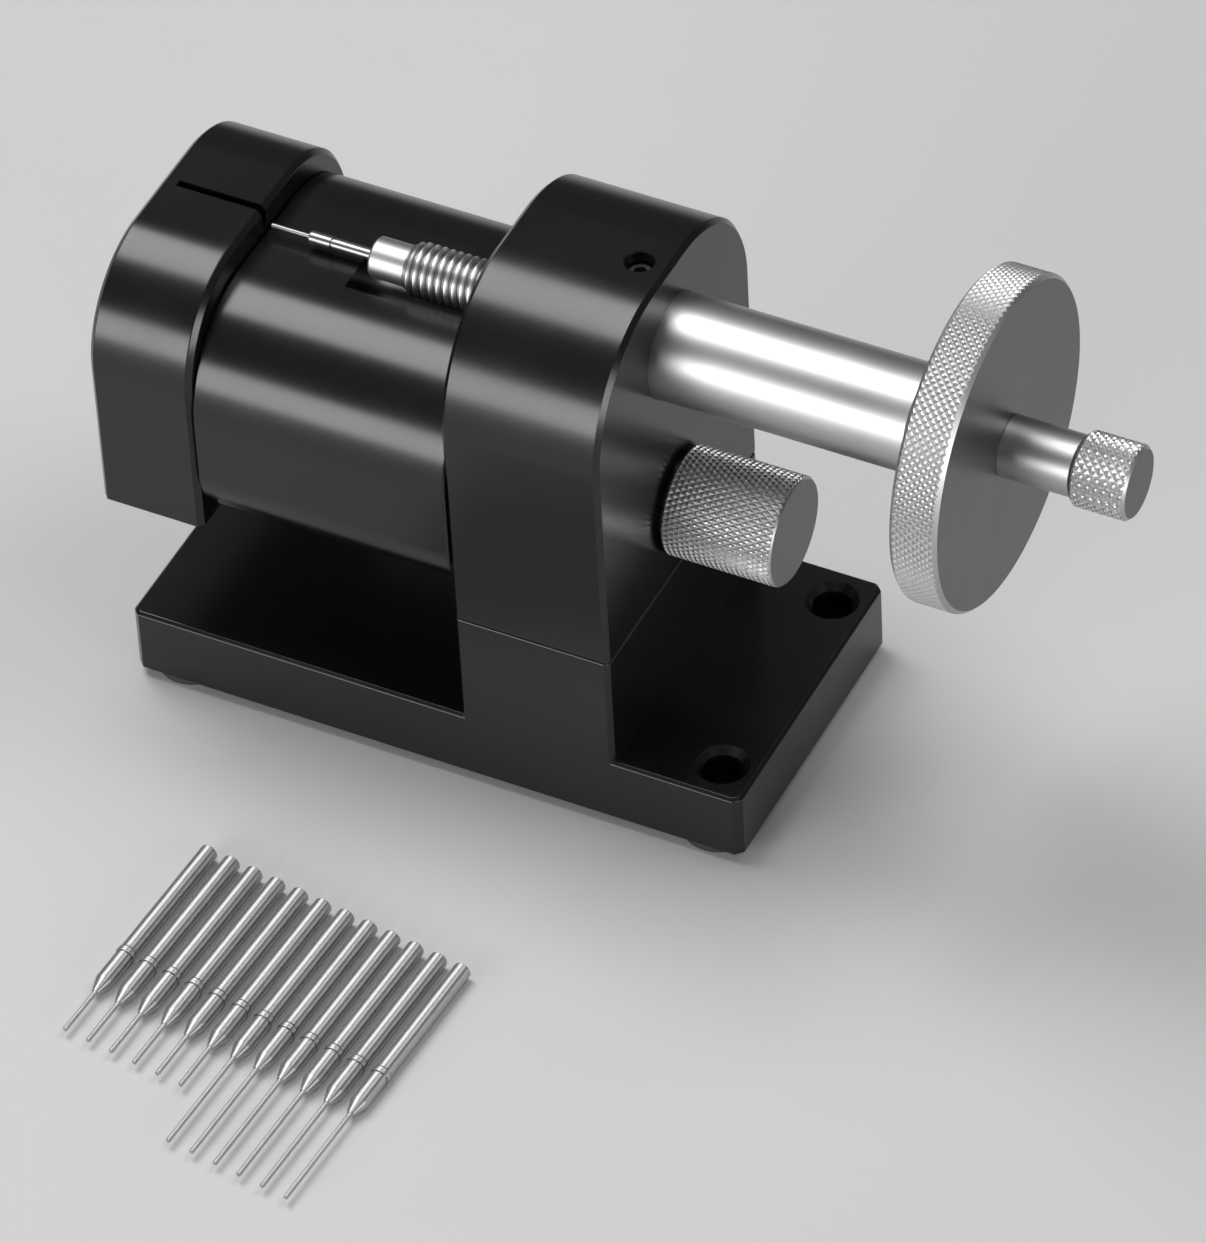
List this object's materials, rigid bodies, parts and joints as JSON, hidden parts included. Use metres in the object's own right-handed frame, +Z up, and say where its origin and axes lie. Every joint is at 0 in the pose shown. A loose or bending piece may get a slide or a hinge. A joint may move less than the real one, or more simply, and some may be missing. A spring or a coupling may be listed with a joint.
{
  "type": "watch link remover",
  "caption": "Bench press for watch bracelet pins: black base, arch, flat-bedded block and slitted head, steel screw spindle with knurled handwheel, end knob, clamp knob and loose spare pins.",
  "frame": {"origin": "centre of the flat underside of the base plate", "axes": "+X along the spindle towards the handwheel, -Y towards the front where the spare pins lie, +Z up"},
  "size_m": [0.186, 0.1638, 0.1192],
  "materials": {
    "black_aluminium": "gloss black anodised",
    "polished_steel": "polished",
    "turned_steel": "turned, semi-bright",
    "tool_steel": "ground, bright",
    "dark_steel": "black oxide",
    "foot_rubber": "matte"
  },
  "bodies": {
    "frame": {"base_plate": "black_aluminium", "arch_housing": "black_aluminium", "support_block": "black_aluminium", "head_block": "black_aluminium", "barrel": "polished_steel", "clamp_stud": "turned_steel", "barrel_screw": "dark_steel", "head_screws": "dark_steel", "block_dowels": "tool_steel", "arch_bolts": "dark_steel", "arch_dowels": "tool_steel", "foot_front_left": "foot_rubber", "foot_front_right": "foot_rubber", "foot_back_left": "foot_rubber", "foot_back_right": "foot_rubber"},
    "pin_carrier": {"driver_pin": "tool_steel"},
    "spindle": {"spindle": "turned_steel", "handwheel": "turned_steel", "rear_shaft": "turned_steel"},
    "rod": {"stop_rod": "tool_steel"},
    "end_knob": {"end_knob": "turned_steel"},
    "washer": {"clamp_washer": "dark_steel"},
    "clamp_knob": {"clamp_knob": "turned_steel"},
    "spare_pin_01": {"spare_pin_01": "tool_steel"},
    "spare_pin_02": {"spare_pin_02": "tool_steel"},
    "spare_pin_03": {"spare_pin_03": "tool_steel"},
    "spare_pin_04": {"spare_pin_04": "tool_steel"},
    "spare_pin_05": {"spare_pin_05": "tool_steel"},
    "spare_pin_06": {"spare_pin_06": "tool_steel"},
    "spare_pin_07": {"spare_pin_07": "tool_steel"},
    "spare_pin_08": {"spare_pin_08": "tool_steel"},
    "spare_pin_09": {"spare_pin_09": "tool_steel"},
    "spare_pin_10": {"spare_pin_10": "tool_steel"},
    "spare_pin_11": {"spare_pin_11": "tool_steel"},
    "spare_pin_12": {"spare_pin_12": "tool_steel"}
  },
  "joints": [
    {"name": "spindle_feed", "type": "slide", "parent": "frame", "child": "pin_carrier", "axis": [1, 0, 0], "range_m": [-0.0025, 0.025]},
    {"name": "wheel_turn", "type": "hinge", "parent": "pin_carrier", "child": "spindle", "pos_m": [0.0945, 0, 0.08775], "axis": [1, 0, 0], "range_deg": [-600, 6000]},
    {"name": "rod_feed", "type": "slide", "parent": "spindle", "child": "rod", "axis": [1, 0, 0], "range_m": [0, 0.0015]},
    {"name": "end_knob_turn", "type": "hinge", "parent": "rod", "child": "end_knob", "pos_m": [0.1176, 0, 0.08775], "axis": [1, 0, 0], "range_deg": [0, 720]},
    {"name": "washer_feed", "type": "slide", "parent": "frame", "child": "washer", "axis": [1, 0, 0], "range_m": [0, 0.005]},
    {"name": "clamp_knob_turn", "type": "hinge", "parent": "washer", "child": "clamp_knob", "pos_m": [0.047, 0, 0.0518], "axis": [1, 0, 0], "range_deg": [0, 1800]},
    {"name": "lift_spare_pin_01", "type": "slide", "parent": "frame", "child": "spare_pin_01", "axis": [0, 0, 1], "range_m": [0, 0.05]},
    {"name": "lift_spare_pin_02", "type": "slide", "parent": "frame", "child": "spare_pin_02", "axis": [0, 0, 1], "range_m": [0, 0.05]},
    {"name": "lift_spare_pin_03", "type": "slide", "parent": "frame", "child": "spare_pin_03", "axis": [0, 0, 1], "range_m": [0, 0.05]},
    {"name": "lift_spare_pin_04", "type": "slide", "parent": "frame", "child": "spare_pin_04", "axis": [0, 0, 1], "range_m": [0, 0.05]},
    {"name": "lift_spare_pin_05", "type": "slide", "parent": "frame", "child": "spare_pin_05", "axis": [0, 0, 1], "range_m": [0, 0.05]},
    {"name": "lift_spare_pin_06", "type": "slide", "parent": "frame", "child": "spare_pin_06", "axis": [0, 0, 1], "range_m": [0, 0.05]},
    {"name": "lift_spare_pin_07", "type": "slide", "parent": "frame", "child": "spare_pin_07", "axis": [0, 0, 1], "range_m": [0, 0.05]},
    {"name": "lift_spare_pin_08", "type": "slide", "parent": "frame", "child": "spare_pin_08", "axis": [0, 0, 1], "range_m": [0, 0.05]},
    {"name": "lift_spare_pin_09", "type": "slide", "parent": "frame", "child": "spare_pin_09", "axis": [0, 0, 1], "range_m": [0, 0.05]},
    {"name": "lift_spare_pin_10", "type": "slide", "parent": "frame", "child": "spare_pin_10", "axis": [0, 0, 1], "range_m": [0, 0.05]},
    {"name": "lift_spare_pin_11", "type": "slide", "parent": "frame", "child": "spare_pin_11", "axis": [0, 0, 1], "range_m": [0, 0.05]},
    {"name": "lift_spare_pin_12", "type": "slide", "parent": "frame", "child": "spare_pin_12", "axis": [0, 0, 1], "range_m": [0, 0.05]}
  ],
  "couplings": [
    {"joint": "spindle_feed", "follows": "wheel_turn", "m_per_rad": 0.00023873},
    {"joint": "end_knob_turn", "follows": "rod_feed", "rad_per_m": 8377.6},
    {"joint": "clamp_knob_turn", "follows": "washer_feed", "rad_per_m": 6283.2}
  ]
}
